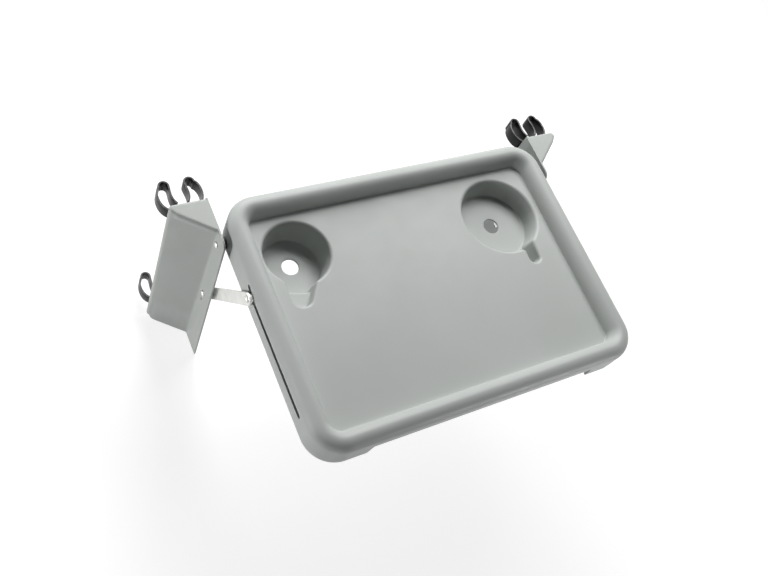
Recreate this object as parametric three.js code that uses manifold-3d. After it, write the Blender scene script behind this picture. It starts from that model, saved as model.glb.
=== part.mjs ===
// A folding tray for a walking frame: a moulded tray hung between two side brackets that clip to the legs.
// Millimetres, +X to the right, +Y to the rear (towards the walking frame), +Z up, tray open and level.
// Pieces are placed from the tray's centre at the lower edge of its skirt, and the last lines move that
// frame so that the origin lies midway between the two legs, at the middle height of their clips.
import * as THREE from 'three';
import { mergeVertices } from 'three/addons/utils/BufferGeometryUtils.js';
import Module from 'manifold-3d';

const wasm = await Module();
wasm.setup();

// Tray shell
const TRAY_WIDTH = 416;
const TRAY_DEPTH = 300;
const TRAY_HEIGHT = 42;
const TRAY_CORNER = 36;
const TRAY_WALL = 3;
const RIM_WIDTH = 26.5;
const RIM_ROUND = 12;
const RIM_FOOT = 2.5;
const FLOOR_DROP = 18.5;
const FRONT_CUT_HEIGHT = 19;
const CORNER_SKIRT = 64;
const CORNER_SKIRT_SLANT = 3;

// Cup wells: room to the foot of the rim, radius, depth, drain hole, and the notch for a mug's handle
const CUP_TAPER = 4;
const CUP_FILLET = 2;
const DRAIN_RADIUS = 10;
const LEFT_CUP_RADIUS = 38.5;
const LEFT_CUP_DEPTH = 33.5;
const LEFT_CUP_SIDE_ROOM = 2;
const LEFT_CUP_REAR_ROOM = 8;
const LEFT_NOTCH_DEGREES = -105.4;
const LEFT_NOTCH_FLARE = 18;
const LEFT_NOTCH_REACH = 14.9;
const LEFT_NOTCH_OFFSET = 0;
const LEFT_NOTCH_RADIUS = 11.5;
const LEFT_NOTCH_DEPTH = 15;
const RIGHT_CUP_RADIUS = 50;
const RIGHT_CUP_DEPTH = 25.6;
const RIGHT_CUP_SIDE_ROOM = 5.8;
const RIGHT_CUP_REAR_ROOM = 9.7;
const RIGHT_NOTCH_DEGREES = -95;
const RIGHT_NOTCH_FLARE = 0;
const RIGHT_NOTCH_REACH = 11;
const RIGHT_NOTCH_OFFSET = 23.9;
const RIGHT_NOTCH_RADIUS = 7.5;
const RIGHT_NOTCH_DEPTH = 24;

// Fold: the tray's pivot from its rear edge, and from that pivot the link's pivot and the pin in the slot
const PIVOT_INSET = 35.5;
const PIVOT_Z = 8;
const LINK_PIVOT_AHEAD = 4.5;
const LINK_PIVOT_DROP = 109.5;
const SLOT_PIN_AHEAD = 75.5;
const SLOT_BELOW_ROUND = 8.5;
const FOLD_DEGREES = 53;
const LATCH_RISE = 5;
const LATCH_RUN = 10;

// Side brackets of bent sheet, their edges measured from the tray's pivot
const SIDE_GAP = 8;
const SHEET = 2;
const FLANGE_BEHIND = 45.8;
const FLANGE_TOP_AHEAD = 16.2;
const FLANGE_TIP_AHEAD = 27.8;
const FLANGE_ABOVE = 23;
const FLANGE_BELOW = 242;
const FLANGE_ROUND = 11;
const PANEL_SETBACK = 0.5;
const PANEL_REACH = 43.7;
const PANEL_BEND = 5;
const SPARE_HOLE_RADIUS = 2;
const SPARE_HOLE_DROP = 15;

// Leg clips of spring strip, mouths to the rear
const CLIP_STRIP = 2;
const CLIP_HEIGHT = 17;
const CLIP_TOP_MARGIN = 23;
const CLIP_BOTTOM_MARGIN = 29;
const CLIP_DEPTH = 38.5;
const CLIP_HALF_WIDTH = 25.4;
const CLIP_MOUTH = 15.6;
const CLIP_BASE = 11;
const CLIP_TIP_RADIUS = 5.5;
const CLIP_BOW = 2;
const CLIP_LIP_DEPTH = 9;
const CLIP_LIP_TUCK = 2;
const CLIP_POCKET = 2.5;
const LEG_SEAT_DEPTH = 22;

// Link bars, pins and rivets
const BAR_WIDTH = 15;
const BAR_THICKNESS = 2.5;
const BAR_STANDOFF = 3;
const RIVET_RADIUS = 2.5;
const RIVET_HEAD_RADIUS = 4;
const RIVET_HEAD_HEIGHT = 2;
const WASHER_RADIUS = 6;
const WASHER_THICKNESS = 1.5;
const PIVOT_SPACER_RADIUS = 7;
const SLOT_PIN_RADIUS = 3;
const SLOT_PIN_FLANGE_RADIUS = 5;
const DOME_WAIST = 0.8;
const DOME_SHOULDER = 0.7;
const DOME_CROWN = 0.4;
const CLEARANCE = 0.3;

const ROUND_SIDES = 20;
const CORNER_STEPS = 6;
const FILLET_STEPS = 3;
const CLIP_STEPS = 6;
const OVERCUT = 5;

// Places that follow from the sizes above
const floorZ = TRAY_HEIGHT - FLOOR_DROP;
const sideX = TRAY_WIDTH / 2;
const pivotY = TRAY_DEPTH / 2 - PIVOT_INSET;
const linkPivotY = pivotY - LINK_PIVOT_AHEAD;
const linkPivotZ = PIVOT_Z - LINK_PIVOT_DROP;
const slotPinY = pivotY - SLOT_PIN_AHEAD;
const slotZ = TRAY_HEIGHT - RIM_ROUND - SLOT_BELOW_ROUND;
const flangeX = sideX + SIDE_GAP;
const flangeRearY = pivotY + FLANGE_BEHIND;
const flangeTopY = pivotY - FLANGE_TOP_AHEAD;
const flangeTipY = pivotY - FLANGE_TIP_AHEAD;
const flangeTopZ = PIVOT_Z + FLANGE_ABOVE;
const flangeBottomZ = PIVOT_Z - FLANGE_BELOW;
const clipUpperZ = flangeTopZ - CLIP_TOP_MARGIN;
const clipLowerZ = flangeBottomZ + CLIP_BOTTOM_MARGIN;
const panelX = flangeX + SHEET + CLEARANCE;
const panelOuterX = flangeX + PANEL_REACH;
const panelFrontY = pivotY + RIVET_HEAD_RADIUS + PANEL_SETBACK;
const barX = sideX + BAR_STANDOFF;
const clipX = (flangeX + panelOuterX) / 2;
const clipBaseY = flangeRearY + CLEARANCE;
const hole = RIVET_RADIUS + CLEARANCE;
const slotHalf = SLOT_PIN_RADIUS + CLEARANCE;
const cups = [
  {
    x: LEFT_CUP_RADIUS + LEFT_CUP_SIDE_ROOM + RIM_WIDTH - sideX,
    y: TRAY_DEPTH / 2 - RIM_WIDTH - LEFT_CUP_REAR_ROOM - LEFT_CUP_RADIUS,
    radius: LEFT_CUP_RADIUS,
    depth: LEFT_CUP_DEPTH,
    notch: {
      heading: THREE.MathUtils.degToRad(LEFT_NOTCH_DEGREES),
      flare: THREE.MathUtils.degToRad(LEFT_NOTCH_FLARE),
      reach: LEFT_CUP_RADIUS + LEFT_NOTCH_REACH,
      offset: LEFT_NOTCH_OFFSET,
      radius: LEFT_NOTCH_RADIUS,
      depth: LEFT_NOTCH_DEPTH,
    },
  },
  {
    x: sideX - RIM_WIDTH - RIGHT_CUP_SIDE_ROOM - RIGHT_CUP_RADIUS,
    y: TRAY_DEPTH / 2 - RIM_WIDTH - RIGHT_CUP_REAR_ROOM - RIGHT_CUP_RADIUS,
    radius: RIGHT_CUP_RADIUS,
    depth: RIGHT_CUP_DEPTH,
    notch: {
      heading: THREE.MathUtils.degToRad(RIGHT_NOTCH_DEGREES),
      flare: THREE.MathUtils.degToRad(RIGHT_NOTCH_FLARE),
      reach: RIGHT_CUP_RADIUS + RIGHT_NOTCH_REACH,
      offset: RIGHT_NOTCH_OFFSET,
      radius: RIGHT_NOTCH_RADIUS,
      depth: RIGHT_NOTCH_DEPTH,
    },
  },
];

// Materials
const greyPlastic = { color: 0xb4b8b4, roughness: 0.5, metalness: 0 };
const greyPaint = { color: 0xa3aaa5, roughness: 0.45, metalness: 0 };
const blackSpring = { color: 0x18191a, roughness: 0.35, metalness: 0 };
const blackPlastic = { color: 0x141414, roughness: 0.5, metalness: 0 };
const zinc = { color: 0xdcddd8, roughness: 0.3, metalness: 1 };

// A geometry with its shared corners merged and its collapsed triangles left out
function welded(geometry) {
  const bare = geometry.clone();
  bare.deleteAttribute('normal');
  bare.deleteAttribute('uv');
  const merged = mergeVertices(bare, 1e-4);
  const index = merged.getIndex().array;
  const kept = [];
  for (let i = 0; i < index.length; i += 3) {
    const [a, b, c] = [index[i], index[i + 1], index[i + 2]];
    if (a !== b && b !== c && c !== a) kept.push(a, b, c);
  }
  merged.setIndex(kept);
  return merged;
}

function solid(geometry) {
  const merged = welded(geometry);
  return new wasm.Manifold(new wasm.Mesh({
    numProp: 3,
    vertProperties: new Float32Array(merged.getAttribute('position').array),
    triVerts: new Uint32Array(merged.getIndex().array),
  }));
}

function geometryOf(body) {
  const mesh = body.getMesh();
  const geometry = new THREE.BufferGeometry();
  geometry.setAttribute('position', new THREE.BufferAttribute(new Float32Array(mesh.vertProperties), 3));
  geometry.setIndex(new THREE.BufferAttribute(new Uint32Array(mesh.triVerts), 1));
  return geometry;
}

// The same piece for the other side of the tray
function mirrored(geometry) {
  const other = welded(geometry).scale(-1, 1, 1);
  const index = other.getIndex();
  for (let i = 0; i < index.count; i += 3) {
    const second = index.getX(i + 1);
    index.setX(i + 1, index.getX(i + 2));
    index.setX(i + 2, second);
  }
  return other;
}

// A rounded rectangle, the given distance inside the tray's outline, at one height
function ring(inset, z) {
  const radius = TRAY_CORNER - inset;
  const cornerX = TRAY_WIDTH / 2 - TRAY_CORNER;
  const cornerY = TRAY_DEPTH / 2 - TRAY_CORNER;
  const points = [];
  for (let corner = 0; corner < 4; corner++) {
    const signX = corner === 0 || corner === 3 ? 1 : -1;
    const signY = corner < 2 ? 1 : -1;
    for (let step = 0; step <= CORNER_STEPS; step++) {
      const angle = (corner + step / CORNER_STEPS) * Math.PI / 2;
      points.push(new THREE.Vector3(
        signX * cornerX + radius * Math.cos(angle), signY * cornerY + radius * Math.sin(angle), z));
    }
  }
  return points;
}

// A closed body through a stack of rings, capped at its first and last ring
function loft(rings) {
  const count = rings[0].length;
  const positions = rings.flat().flatMap((point) => [point.x, point.y, point.z]);
  const index = [];
  for (let level = 0; level + 1 < rings.length; level++) {
    for (let i = 0; i < count; i++) {
      const a = level * count + i;
      const b = level * count + (i + 1) % count;
      index.push(a, b, b + count, a, b + count, a + count);
    }
  }
  const top = (rings.length - 1) * count;
  for (let i = 1; i + 1 < count; i++) {
    index.push(0, i + 1, i);
    index.push(top, top + i, top + i + 1);
  }
  const geometry = new THREE.BufferGeometry();
  geometry.setAttribute('position', new THREE.BufferAttribute(new Float32Array(positions), 3));
  geometry.setIndex(index);
  return geometry;
}

// The rim's section as [inset, height]: upright skirt, quarter round, an elliptical fall inside, and a small
// fillet on to the floor. Moved inwards along its normals by the wall, the same section gives the underside.
function rimSection(wall) {
  const quarter = (i, steps) => (i / steps) * Math.PI / 2;
  const section = [[wall, 0]];
  for (let i = 0; i <= CORNER_STEPS; i++) {
    const angle = quarter(i, CORNER_STEPS);
    const radius = RIM_ROUND - wall;
    section.push([RIM_ROUND - radius * Math.cos(angle), TRAY_HEIGHT - RIM_ROUND + radius * Math.sin(angle)]);
  }
  const run = RIM_WIDTH - RIM_ROUND - RIM_FOOT;
  const drop = FLOOR_DROP - RIM_FOOT;
  for (let i = 1; i <= CORNER_STEPS; i++) {
    const angle = quarter(i, CORNER_STEPS);
    const normal = new THREE.Vector2(Math.sin(angle) / run, Math.cos(angle) / drop).setLength(wall);
    const inset = RIM_ROUND + run * Math.sin(angle) - normal.x;
    section.push([inset, floorZ + RIM_FOOT + drop * Math.cos(angle) - normal.y]);
  }
  for (let i = 1; i <= FILLET_STEPS; i++) {
    const angle = quarter(i, FILLET_STEPS);
    const radius = RIM_FOOT + wall;
    section.push([RIM_WIDTH - radius * Math.cos(angle), floorZ + RIM_FOOT - radius * Math.sin(angle)]);
  }
  return section;
}

// A body of revolution about +Z through [radius, height] points that start and end on the axis
function turned(points, sides = ROUND_SIDES) {
  const profile = points.map(([radius, height]) => new THREE.Vector2(radius, height));
  return new THREE.LatheGeometry(profile, sides).rotateX(Math.PI / 2);
}

function disc(radius, low, high, sides = ROUND_SIDES) {
  return turned([[0, low], [radius, low], [radius, high], [0, high]], sides);
}

function washer(outer, inner, low, high) {
  return turned([[inner, low], [outer, low], [outer, high], [inner, high], [inner, low]]);
}

// A body turned about +Z is laid along +X, or along +Y, and moved to its place
function alongX(geometry, y, z) {
  return geometry.rotateY(Math.PI / 2).translate(0, y, z);
}

function alongY(geometry, x, z) {
  return geometry.rotateX(-Math.PI / 2).translate(x, 0, z);
}

function prism(shape, low, high, curveSegments = CORNER_STEPS) {
  const options = { depth: high - low, bevelEnabled: false, curveSegments };
  return new THREE.ExtrudeGeometry(shape, options).translate(0, 0, low);
}

// A flat piece drawn in Y and Z, between two X values
function plate(shape, low, high) {
  const upright = new THREE.Matrix4().makeBasis(
    new THREE.Vector3(0, 1, 0), new THREE.Vector3(0, 0, 1), new THREE.Vector3(1, 0, 0));
  return prism(shape, low, high).applyMatrix4(upright);
}

function polygon(points) {
  return new THREE.Shape(points.map(([x, y]) => new THREE.Vector2(x, y)));
}

// The outline of a bar with round ends, from one end's centre to the other's
function roundBar(startX, startY, endX, endY, radius) {
  const heading = Math.atan2(endY - startY, endX - startX);
  const shape = new THREE.Shape();
  shape.absarc(startX, startY, radius, heading + Math.PI / 2, heading + 1.5 * Math.PI, false);
  shape.absarc(endX, endY, radius, heading - Math.PI / 2, heading + Math.PI / 2, false);
  shape.closePath();
  return shape;
}

// How far along the slot the pin stands from the tray's pivot when the tray is folded by an angle:
// the point of the slot that lies one link length from the link's pivot
function slotReach(fold) {
  const rise = slotZ - PIVOT_Z;
  const linkY = linkPivotY - pivotY;
  const linkZ = linkPivotZ - PIVOT_Z;
  const linkLength = Math.hypot(slotPinY - linkPivotY, slotZ - linkPivotZ);
  const half = linkY * Math.cos(fold) + linkZ * Math.sin(fold);
  const rest = rise ** 2 + linkY ** 2 + linkZ ** 2 - linkLength ** 2
    + 2 * rise * (linkY * Math.sin(fold) - linkZ * Math.cos(fold));
  return -half + Math.sqrt(half ** 2 - rest);
}

const slotFrontY = pivotY - slotReach(THREE.MathUtils.degToRad(FOLD_DEGREES));

function cupSolid(cup, wall, top) {
  const floor = floorZ - cup.depth - wall;
  const radius = cup.radius + wall;
  const foot = radius - CUP_TAPER;
  const fillet = CUP_FILLET + wall;
  const points = [[0, floor], [foot - fillet, floor]];
  for (let i = 1; i <= FILLET_STEPS; i++) {
    const angle = (i / FILLET_STEPS) * Math.PI / 2;
    points.push([foot - fillet + fillet * Math.sin(angle), floor + fillet - fillet * Math.cos(angle)]);
  }
  points.push([radius, top], [0, top]);
  return solid(turned(points, 2 * ROUND_SIDES).translate(cup.x, cup.y, 0));
}

// Plan of a handle notch: two sides that open out towards the cup by the flare, closed by a round end.
// The notch's middle line passes beside the cup's centre by the offset.
function notchPlan(cup, wall) {
  const { heading, flare, reach, offset } = cup.notch;
  const end = cup.notch.radius + wall;
  const spread = end / Math.cos(flare) + reach * Math.tan(flare);
  const swing = Math.PI / 2 - flare;
  const at = (along, across) => [
    cup.x + along * Math.cos(heading) - across * Math.sin(heading),
    cup.y + along * Math.sin(heading) + across * Math.cos(heading),
  ];
  const shape = new THREE.Shape();
  shape.moveTo(...at(0, offset + spread));
  shape.lineTo(...at(0, offset - spread));
  shape.absarc(...at(reach, offset), end, heading - swing, heading + swing, false);
  shape.closePath();
  return shape;
}

function notchSolid(cup, wall, top) {
  return solid(prism(notchPlan(cup, wall), floorZ - cup.notch.depth - wall, top));
}

function slotCutter() {
  const latch = polygon([
    [slotPinY, slotZ], [slotPinY + slotHalf, slotZ],
    [slotPinY + LATCH_RUN + slotHalf, slotZ + LATCH_RISE],
    [slotPinY + LATCH_RUN, slotZ + slotHalf + LATCH_RISE], [slotPinY, slotZ + slotHalf],
  ]);
  const low = sideX - TRAY_WALL - OVERCUT / 2;
  const slot = roundBar(slotFrontY, slotZ, slotPinY, slotZ, slotHalf);
  return solid(plate(slot, low, sideX + OVERCUT)).add(solid(plate(latch, low, sideX + OVERCUT)));
}

function trayShell() {
  const outside = rimSection(0).map(([inset, z]) => ring(inset, z));
  const inside = [ring(TRAY_WALL, -OVERCUT), ...rimSection(TRAY_WALL).map(([inset, z]) => ring(inset, z))];
  let tray = solid(loft(outside)).subtract(solid(loft(inside)));
  const insideFloor = floorZ - TRAY_WALL / 2;
  for (const cup of cups) {
    tray = tray.add(cupSolid(cup, TRAY_WALL, insideFloor)).add(notchSolid(cup, TRAY_WALL, insideFloor));
  }
  for (const cup of cups) {
    const drain = disc(DRAIN_RADIUS, floorZ - cup.depth - TRAY_WALL - OVERCUT, floorZ);
    tray = tray.subtract(cupSolid(cup, 0, floorZ + OVERCUT)).subtract(notchSolid(cup, 0, floorZ + OVERCUT));
    tray = tray.subtract(solid(drain.translate(cup.x, cup.y, 0)));
  }
  const cutX = sideX - CORNER_SKIRT;
  const frontCut = polygon([
    [-cutX - CORNER_SKIRT_SLANT, -OVERCUT], [cutX + CORNER_SKIRT_SLANT, -OVERCUT],
    [cutX, FRONT_CUT_HEIGHT], [-cutX, FRONT_CUT_HEIGHT],
  ]);
  const cutter = prism(frontCut, -OVERCUT - TRAY_WALL, OVERCUT).rotateX(Math.PI / 2);
  tray = tray.subtract(solid(cutter.translate(0, -TRAY_DEPTH / 2, 0)));
  const wallInside = sideX - TRAY_WALL;
  const pivotHole = turned([
    [0, wallInside - OVERCUT], [WASHER_RADIUS + CLEARANCE, wallInside - OVERCUT],
    [WASHER_RADIUS + CLEARANCE, wallInside], [hole, wallInside],
    [hole, sideX + OVERCUT], [0, sideX + OVERCUT],
  ]);
  const pivotCut = alongX(pivotHole, pivotY, PIVOT_Z);
  const slot = slotCutter();
  const otherSlot = solid(mirrored(geometryOf(slot)));
  tray = tray.subtract(solid(pivotCut)).subtract(solid(mirrored(pivotCut)));
  return geometryOf(tray.subtract(slot).subtract(otherSlot));
}

// Flat plate beside the tray: upright rear edge, slanting front edge with a round top corner
function flangePlate() {
  const shape = new THREE.Shape();
  shape.moveTo(flangeRearY, flangeTopZ);
  shape.lineTo(flangeTopY + FLANGE_ROUND, flangeTopZ);
  shape.quadraticCurveTo(flangeTopY, flangeTopZ, flangeTopY, flangeTopZ - FLANGE_ROUND);
  shape.lineTo(flangeTipY, flangeBottomZ);
  shape.lineTo(flangeRearY, flangeBottomZ);
  shape.closePath();
  const outerX = flangeX + SHEET;
  const cut = (radius, y, z) => solid(alongX(disc(radius, flangeX - OVERCUT, outerX + OVERCUT), y, z));
  return geometryOf(solid(plate(shape, flangeX, outerX))
    .subtract(cut(hole, pivotY, PIVOT_Z))
    .subtract(cut(hole, linkPivotY, linkPivotZ))
    .subtract(cut(SPARE_HOLE_RADIUS, linkPivotY, linkPivotZ - SPARE_HOLE_DROP)));
}

// Plan of the folded panel: along the back, round the outer bend, and slanting forward to the flange.
// The slanted face touches the bend, so its angle follows from the bend's centre and radius.
function panelPlan(inset, openSide) {
  const bendX = panelOuterX - PANEL_BEND;
  const bendY = flangeRearY - PANEL_BEND;
  const runX = bendX - panelX;
  const runY = bendY - panelFrontY;
  const slant = Math.atan2(runY, runX) - Math.asin(PANEL_BEND / Math.hypot(runX, runY));
  const radius = PANEL_BEND - inset;
  const touchX = bendX + radius * Math.sin(slant);
  const touchY = bendY - radius * Math.cos(slant);
  const low = panelX - openSide;
  const shape = new THREE.Shape();
  shape.moveTo(low, flangeRearY - inset);
  shape.lineTo(low, touchY - (touchX - low) * Math.tan(slant));
  shape.absarc(bendX, bendY, radius, slant - Math.PI / 2, Math.PI / 2, false);
  shape.closePath();
  return shape;
}

function anglePanel() {
  const outside = solid(prism(panelPlan(0, 0), flangeBottomZ, flangeTopZ));
  const inside = solid(prism(panelPlan(SHEET, OVERCUT), flangeBottomZ - OVERCUT, flangeTopZ - SHEET));
  let panel = outside.subtract(inside);
  for (const z of [clipUpperZ, clipLowerZ]) {
    const cutter = disc(hole, flangeRearY - SHEET - OVERCUT / 2, flangeRearY + OVERCUT);
    panel = panel.subtract(solid(alongY(cutter, clipX, z)));
  }
  return geometryOf(panel);
}

// One strip bent into both jaws: inner strand hollowed for the leg, round tip, bowed outer strand, flat
// base, and the same back
function clipStrip(z) {
  const half = CLIP_STRIP / 2;
  const inner = CLIP_MOUTH / 2 + half;
  const shoulder = CLIP_DEPTH - half - CLIP_TIP_RADIUS;
  const jaw = new THREE.Path();
  jaw.moveTo(inner - CLIP_LIP_TUCK, CLIP_LIP_DEPTH);
  jaw.quadraticCurveTo(inner + CLIP_POCKET, (CLIP_LIP_DEPTH + shoulder) / 2, inner, shoulder);
  jaw.absarc(inner + CLIP_TIP_RADIUS, shoulder, CLIP_TIP_RADIUS, Math.PI, 0, true);
  jaw.bezierCurveTo(
    CLIP_HALF_WIDTH + CLIP_BOW, shoulder - CLIP_TIP_RADIUS, CLIP_HALF_WIDTH + half, half, CLIP_BASE, half);
  const path = jaw.getPoints(CLIP_STEPS);
  path.push(...path.map((point) => new THREE.Vector2(-point.x, point.y)).reverse());
  const left = [];
  const right = [];
  path.forEach((point, i) => {
    const before = path[Math.max(i - 1, 0)];
    const after = path[Math.min(i + 1, path.length - 1)];
    const heading = after.clone().sub(before).normalize();
    left.push([point.x - half * heading.y, point.y + half * heading.x]);
    right.push([point.x + half * heading.y, point.y - half * heading.x]);
  });
  const strip = prism(polygon([...left, ...right.reverse()]), z - CLIP_HEIGHT / 2, z + CLIP_HEIGHT / 2);
  const rivetHole = alongY(disc(hole, -OVERCUT, OVERCUT), 0, z);
  return geometryOf(solid(strip).subtract(solid(rivetHole))).translate(clipX, clipBaseY, 0);
}

// A rivet between two faces: a flat head before the first, a domed head past the second
function rivet(low, high) {
  const first = low - CLEARANCE;
  const base = first - RIVET_HEAD_HEIGHT;
  return turned([
    [0, base], [RIVET_HEAD_RADIUS, base], [RIVET_HEAD_RADIUS, first], [RIVET_RADIUS, first],
    ...domedHead(high + CLEARANCE, RIVET_HEAD_HEIGHT),
  ]);
}

// The last points of a rivet's profile: its shank up to a face, and a domed head on that face
function domedHead(face, height) {
  return [
    [RIVET_RADIUS, face], [RIVET_HEAD_RADIUS, face],
    [DOME_WAIST * RIVET_HEAD_RADIUS, face + DOME_SHOULDER * height],
    [DOME_CROWN * RIVET_HEAD_RADIUS, face + height], [0, face + height],
  ];
}

// The slot pin: inner end, shoulder through the wall, and the flange that the bar bears on
function slotPin() {
  const inner = sideX - TRAY_WALL - WASHER_THICKNESS - 3 * CLEARANCE - RIVET_HEAD_HEIGHT;
  const flange = sideX + CLEARANCE;
  return turned([
    [0, inner], [SLOT_PIN_FLANGE_RADIUS, inner], [SLOT_PIN_FLANGE_RADIUS, inner + RIVET_HEAD_HEIGHT],
    [SLOT_PIN_RADIUS, inner + RIVET_HEAD_HEIGHT], [SLOT_PIN_RADIUS, flange], [SLOT_PIN_FLANGE_RADIUS, flange],
    [SLOT_PIN_FLANGE_RADIUS, barX - CLEARANCE], [0, barX - CLEARANCE],
  ]);
}

function linkBar() {
  const outline = roundBar(linkPivotY, linkPivotZ, slotPinY, slotZ, BAR_WIDTH / 2);
  const cut = (y, z) => solid(alongX(disc(hole, barX - OVERCUT, barX + BAR_THICKNESS + OVERCUT), y, z));
  return geometryOf(solid(plate(outline, barX, barX + BAR_THICKNESS))
    .subtract(cut(linkPivotY, linkPivotZ))
    .subtract(cut(slotPinY, slotZ)));
}

// The rivet in the bar's outer end stops at the bar's inner face
function linkEndRivet() {
  const face = barX + BAR_THICKNESS + CLEARANCE;
  const head = flangeX - face - 2 * CLEARANCE;
  return turned([[0, barX], [RIVET_RADIUS, barX], ...domedHead(face, head)]);
}

// Every piece of one side, drawn for the right
function sidePieces() {
  const wallInside = sideX - TRAY_WALL;
  const washerHigh = wallInside - CLEARANCE;
  const washerLow = washerHigh - WASHER_THICKNESS;
  const barOuter = barX + BAR_THICKNESS;
  const atPivot = (geometry) => alongX(geometry, pivotY, PIVOT_Z);
  const atLink = (geometry) => alongX(geometry, linkPivotY, linkPivotZ);
  const atSlot = (geometry) => alongX(geometry, slotPinY, slotZ);
  const clipRivet = (z) => alongY(rivet(flangeRearY - SHEET, clipBaseY + CLIP_STRIP), clipX, z);
  const pivotSpacer = washer(PIVOT_SPACER_RADIUS, hole, sideX + CLEARANCE, flangeX - CLEARANCE);
  return [
    ['flange_plate', flangePlate(), greyPaint],
    ['angle_panel', anglePanel(), greyPaint],
    ['upper_leg_clip', clipStrip(clipUpperZ), blackSpring],
    ['lower_leg_clip', clipStrip(clipLowerZ), blackSpring],
    ['upper_clip_rivet', clipRivet(clipUpperZ), zinc],
    ['lower_clip_rivet', clipRivet(clipLowerZ), zinc],
    ['pivot_rivet', atPivot(rivet(washerLow, flangeX + SHEET)), zinc],
    ['pivot_spacer', atPivot(pivotSpacer), blackPlastic],
    ['pivot_washer', atPivot(washer(WASHER_RADIUS, hole, washerLow, washerHigh)), zinc],
    ['link_bar', linkBar(), zinc],
    ['link_rivet', atLink(rivet(barX, flangeX + SHEET)), zinc],
    ['link_spacer', atLink(washer(WASHER_RADIUS, hole, barOuter + CLEARANCE, flangeX - CLEARANCE)), zinc],
    ['link_end_rivet', atSlot(linkEndRivet()), zinc],
    ['slot_pin', atSlot(slotPin()), zinc],
    ['slot_pin_washer', atSlot(washer(WASHER_RADIUS, slotHalf, washerLow, washerHigh)), zinc],
  ];
}

function piece(name, geometry, finish) {
  const mesh = new THREE.Mesh(welded(geometry), new THREE.MeshStandardMaterial(finish));
  mesh.geometry.computeVertexNormals();
  mesh.name = name;
  return mesh;
}

const walkerTray = new THREE.Group();
walkerTray.name = 'walker_tray';
walkerTray.position.set(0, -(clipBaseY + LEG_SEAT_DEPTH), -(clipUpperZ + clipLowerZ) / 2);
walkerTray.add(piece('tray', trayShell(), greyPlastic));
for (const [name, geometry, finish] of sidePieces()) {
  walkerTray.add(piece(`right_${name}`, geometry, finish));
  walkerTray.add(piece(`left_${name}`, mirrored(geometry), finish));
}

export default walkerTray;
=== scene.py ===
"""A folding tray for a walking frame: moulded tray, painted side brackets, spring clips, links and rivets.

Lengths below are millimetres from the tray's centre at the lower edge of its skirt (x right, y to the rear,
z up). placed() turns them into metres in the part's own frame. Right-hand pieces are worked out, and the
left-hand ones are their mirror images.
"""

import math

import bmesh
import bpy
import numpy as np
from mathutils import Matrix


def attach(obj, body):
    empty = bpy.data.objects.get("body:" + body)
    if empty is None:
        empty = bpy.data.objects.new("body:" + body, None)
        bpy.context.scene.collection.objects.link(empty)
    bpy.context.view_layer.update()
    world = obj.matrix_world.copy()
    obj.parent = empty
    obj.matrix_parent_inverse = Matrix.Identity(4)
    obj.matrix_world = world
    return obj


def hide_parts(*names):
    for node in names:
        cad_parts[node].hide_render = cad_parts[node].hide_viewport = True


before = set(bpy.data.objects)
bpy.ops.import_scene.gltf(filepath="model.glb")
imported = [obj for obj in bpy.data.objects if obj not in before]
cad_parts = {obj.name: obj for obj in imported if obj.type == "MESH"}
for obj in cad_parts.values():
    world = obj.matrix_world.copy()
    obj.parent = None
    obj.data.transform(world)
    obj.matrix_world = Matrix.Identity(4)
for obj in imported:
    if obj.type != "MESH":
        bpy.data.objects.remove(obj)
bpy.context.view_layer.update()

PART_ORIGIN = np.array([0.0, -182.6, 98.5])

# Tray shell
HALF_WIDTH, HALF_DEPTH, HEIGHT = 208.0, 150.0, 42.0
CORNER, WALL = 36.0, 3.0
RIM_WIDTH, RIM_ROUND, RIM_FOOT, FLOOR_Z = 25.2, 12.0, 1.2, 23.5
SHOULDER_Z = HEIGHT - RIM_ROUND
SKIRT_EDGE = 1.1
FRONT_CUT_Z, FRONT_CUT_X, FRONT_CUT_SLANT = 19.0, 144.0, 3.0
DIVIDE_X = -20.0

# Cup wells, with the number of points on each stretch of their edges
CUP_TAPER, CUP_FILLET = 4.0, 1.6
NOTCH_SECTOR = math.radians(62.0)
NOTCH_COVE, NOTCH_BROW = 3.0, 2.2
DRAIN_RADIUS, DRAIN_EDGE = 10.0, 0.8
LIP_MARGIN, UNDER_LIP = 0.8, 1.5
DENSE = 400

# Fold
PIVOT_Y, PIVOT_Z = 114.5, 8.0
LINK_Y, LINK_Z = 110.0, -101.5
PIN_Y, SLOT_Z, SLOT_FRONT_Y, SLOT_HALF = 39.0, 21.5, -95.76, 3.3
LATCH_Y, LATCH_Z = 49.0, 26.5

# Brackets
FLANGE_X, SHEET = 216.0, 2.0
FLANGE_FACE = FLANGE_X + SHEET
BACK_Y, TOP_Z, BOTTOM_Z = 160.3, 31.0, -234.0
PANEL_FRONT_Y, PANEL_OUTER_X, PANEL_BEND, PANEL_FILLET = 119.0, 259.7, 5.0, 5.0
WELD_GAP = 0.02
PANEL_FACE = FLANGE_FACE + WELD_GAP
FILLET_POINTS, SLANT_POINTS = 9, 25

# Clips
CLIP_X, CLIP_BASE_Y = 237.85, 160.6
CLIP_HEIGHTS = {"upper": 8.0, "lower": -205.0}
STRIP, STRIP_TALL, STRIP_ROUND = 2.0, 17.0, 0.75
CLIP_MOUTH, CLIP_TIP, CLIP_DEPTH, CLIP_WIDE, CLIP_FLAT = 7.8, 5.5, 38.5, 25.4, 11.0

# Links, pins and rivets
BAR_X, BAR_THICK, BAR_WIDE, BAR_EASE = 211.0, 2.5, 15.0, 0.45
RIVET_RADIUS, HEAD_RADIUS, HEAD_HIGH, HEAD_EASE = 2.5, 4.0, 2.0, 0.4
WASHER_RADIUS, WASHER_THICK, SPACER_RADIUS = 6.0, 1.5, 7.0
PIN_RADIUS, PIN_FLANGE = 3.0, 5.0
GAP = 0.3

# A normal this near to an axis belongs to a straight side
STRAIGHT = 0.999999


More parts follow.
